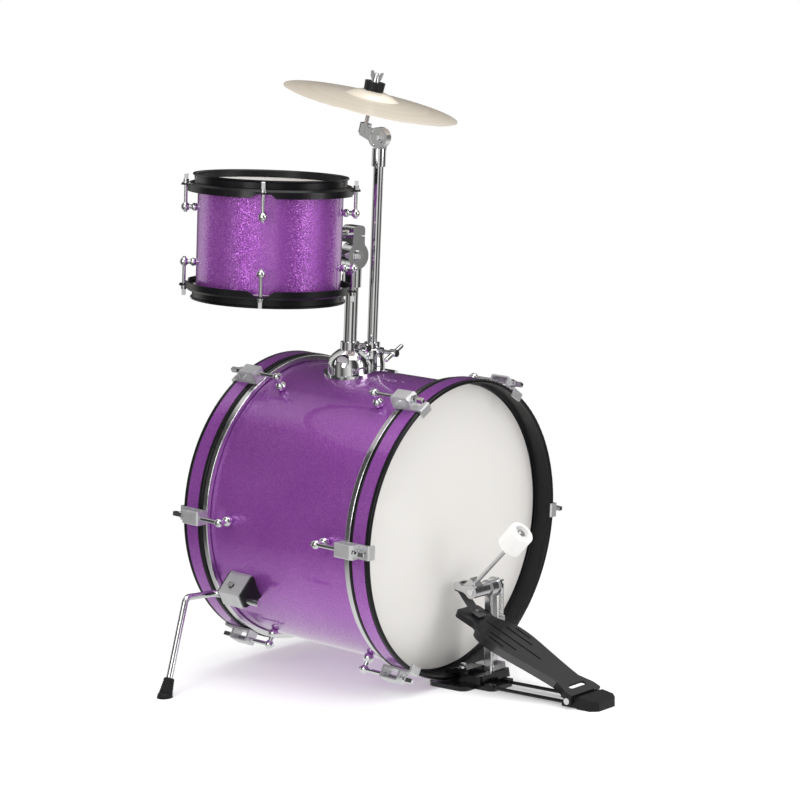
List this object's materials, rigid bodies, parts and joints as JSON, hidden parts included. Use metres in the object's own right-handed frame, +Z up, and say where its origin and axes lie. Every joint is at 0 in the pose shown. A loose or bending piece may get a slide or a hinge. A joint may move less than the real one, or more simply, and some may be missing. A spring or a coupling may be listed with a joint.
{
  "type": "acoustic drum kit",
  "caption": "Junior acoustic drum kit: sparkle bass drum on folding spurs, tom and cymbal on adjustable posts, and a foot pedal with a beater",
  "frame": {"origin": "on the floor under the middle of the kit's box", "axes": "+X to the drummer's right, +Y from the drummer to the audience, +Z up"},
  "size_m": [0.6702, 0.5928, 0.8616],
  "materials": {
    "purple_sparkle": "clear coated sparkle wrap",
    "drum_film": "coated film, satin",
    "flesh_hoop_steel": "bright rolled steel",
    "black_hoop": "black satin paint",
    "silver_cast": "satin silver",
    "chrome": "polished chrome",
    "satin_chrome": "satin chrome",
    "black_moulded": "satin moulded plastic",
    "cymbal_brass": "lathed, polished",
    "tan_felt": "pressed felt",
    "zinc": "polished die cast zinc",
    "black_casting": "black satin powder coat",
    "black_rubber": "moulded rubber",
    "black_webbing": "woven strap",
    "white_felt": "firm white felt"
  },
  "bodies": {
    "bass_drum": {"bass_shell": "purple_sparkle", "batter_head": "drum_film", "front_head": "drum_film", "bass_flesh_hoops": "flesh_hoop_steel", "batter_hoop": "black_hoop", "front_hoop": "black_hoop", "bass_hoop_inlays": "purple_sparkle", "bass_lugs": "chrome", "bass_lug_screws": "chrome", "bass_tension_rods": "chrome", "bass_claws": "silver_cast", "holder_base": "chrome", "holder_bolts": "chrome", "spur_brackets": "silver_cast", "spur_bracket_pads": "black_moulded", "spur_lock_screws": "chrome", "pedal_base": "black_casting", "hoop_clamp_jaw": "black_casting", "pedal_post": "zinc", "pedal_connecting_rods": "black_casting", "heel_plate": "black_moulded", "heel_pin": "chrome", "pedal_spring": "satin_chrome"},
    "tom_post": {"tom_tube": "chrome"},
    "tom_swivel": {"tilter_socket": "chrome", "tilter_bolt": "chrome"},
    "tom": {"tilter_arm": "chrome", "tom_bracket": "chrome", "tom_shell": "purple_sparkle", "tom_batter_head": "drum_film", "tom_bottom_head": "drum_film", "tom_top_hoop": "black_hoop", "tom_bottom_hoop": "black_hoop", "tom_lugs": "chrome", "tom_tension_rods": "chrome", "tom_lug_screws": "chrome"},
    "cymbal_post": {"cymbal_tube": "chrome"},
    "cymbal_swivel": {"cymbal_tilter_socket": "chrome", "cymbal_tilter_bolt": "chrome"},
    "cymbal_arm": {"cymbal_tilter_arm": "chrome", "cymbal_rod": "chrome", "cymbal_lower_felt": "tan_felt", "cymbal_upper_sleeve": "black_moulded"},
    "cymbal": {"cymbal": "cymbal_brass"},
    "wing_nut": {"cymbal_wing_nut": "chrome"},
    "tom_clamp": {"tom_clamp_bolt": "chrome"},
    "cymbal_clamp": {"cymbal_clamp_bolt": "chrome"},
    "pedal_clamp": {"pedal_clamp_screw": "chrome"},
    "left_spur": {"left_spur_rod": "satin_chrome", "left_spur_foot": "black_rubber"},
    "right_spur": {"right_spur_rod": "satin_chrome", "right_spur_foot": "black_rubber"},
    "footboard": {"footboard": "black_casting", "strap_bolt": "chrome"},
    "strap": {"pedal_strap": "black_webbing"},
    "rotor": {"pedal_axle": "chrome", "pedal_cam": "zinc", "beater_shaft": "satin_chrome", "beater_head": "white_felt", "beater_nut": "chrome"}
  },
  "joints": [
    {"name": "tom_height", "type": "slide", "parent": "bass_drum", "child": "tom_post", "axis": [0, -0.0489, 0.9988], "range_m": [-0.04, 0.04]},
    {"name": "tom_turn", "type": "hinge", "parent": "tom_post", "child": "tom_swivel", "pos_m": [-0.025, 0.12399, 0.56982], "axis": [0, -0.0489, 0.9988], "range_deg": [-60, 60]},
    {"name": "tom_tilt", "type": "hinge", "parent": "tom_swivel", "child": "tom", "pos_m": [-0.025, 0.12252, 0.59978], "axis": [0.1392, 0.9891, 0.0484], "range_deg": [-12, 35]},
    {"name": "cymbal_height", "type": "slide", "parent": "bass_drum", "child": "cymbal_post", "axis": [0, -0.0489, 0.9988], "range_m": [-0.06, 0.06]},
    {"name": "cymbal_turn", "type": "hinge", "parent": "cymbal_post", "child": "cymbal_swivel", "pos_m": [0.025, 0.11593, 0.73462], "axis": [0, -0.0489, 0.9988], "range_deg": [-90, 90]},
    {"name": "cymbal_tilt", "type": "hinge", "parent": "cymbal_swivel", "child": "cymbal_arm", "pos_m": [0.025, 0.11441, 0.76558], "axis": [0.9789, 0.2043, 0.01], "range_deg": [-45, 40]},
    {"name": "cymbal_spin", "type": "hinge", "parent": "cymbal_arm", "child": "cymbal", "pos_m": [0.02211, 0.12536, 0.82517], "axis": [0.042, -0.2486, 0.9677], "continuous": true},
    {"name": "wing_nut_turn", "type": "hinge", "parent": "cymbal_arm", "child": "wing_nut", "pos_m": [0.02324, 0.11865, 0.85129], "axis": [0.042, -0.2486, 0.9677], "continuous": true},
    {"name": "tom_clamp_turn", "type": "hinge", "parent": "bass_drum", "child": "tom_clamp", "pos_m": [-0.025, 0.09788, 0.46892], "axis": [0, -0.9988, -0.0489], "continuous": true},
    {"name": "cymbal_clamp_turn", "type": "hinge", "parent": "bass_drum", "child": "cymbal_clamp", "pos_m": [0.025, 0.08841, 0.45794], "axis": [0, -0.9988, -0.0489], "continuous": true},
    {"name": "pedal_clamp_turn", "type": "hinge", "parent": "bass_drum", "child": "pedal_clamp", "pos_m": [-0.008, -0.06437, 0.026], "axis": [0, 0, 1], "continuous": true},
    {"name": "left_spur_fold", "type": "hinge", "parent": "bass_drum", "child": "left_spur", "pos_m": [-0.19941, 0.19394, 0.12216], "axis": [0, 0.9988, 0.0489], "range_deg": [0, 75]},
    {"name": "right_spur_fold", "type": "hinge", "parent": "bass_drum", "child": "right_spur", "pos_m": [0.19941, 0.19394, 0.12216], "axis": [0, -0.9988, -0.0489], "range_deg": [0, 75]},
    {"name": "footboard_press", "type": "hinge", "parent": "bass_drum", "child": "footboard", "pos_m": [0.01, -0.25467, 0.011], "axis": [-1, 0, 0], "range_deg": [0, 8.16], "stiffness_Nm_per_rad": 6, "springref_deg": -6.88},
    {"name": "beater_swing", "type": "hinge", "parent": "bass_drum", "child": "rotor", "pos_m": [0.01, -0.07237, 0.133], "axis": [-1, 0, 0], "range_deg": [0, 51], "deforming": ["pedal_spring"]},
    {"name": "strap_lean", "type": "hinge", "parent": "footboard", "child": "strap", "pos_m": [0.01, -0.07114, 0.10446], "axis": [1, 0, 0], "range_deg": [0, 48], "deforming": ["pedal_strap"]}
  ],
  "couplings": [
    {"joint": "beater_swing", "follows": "footboard_press", "ratio": 6.242},
    {"joint": "strap_lean", "follows": "footboard_press", "ratio": 5.861}
  ]
}
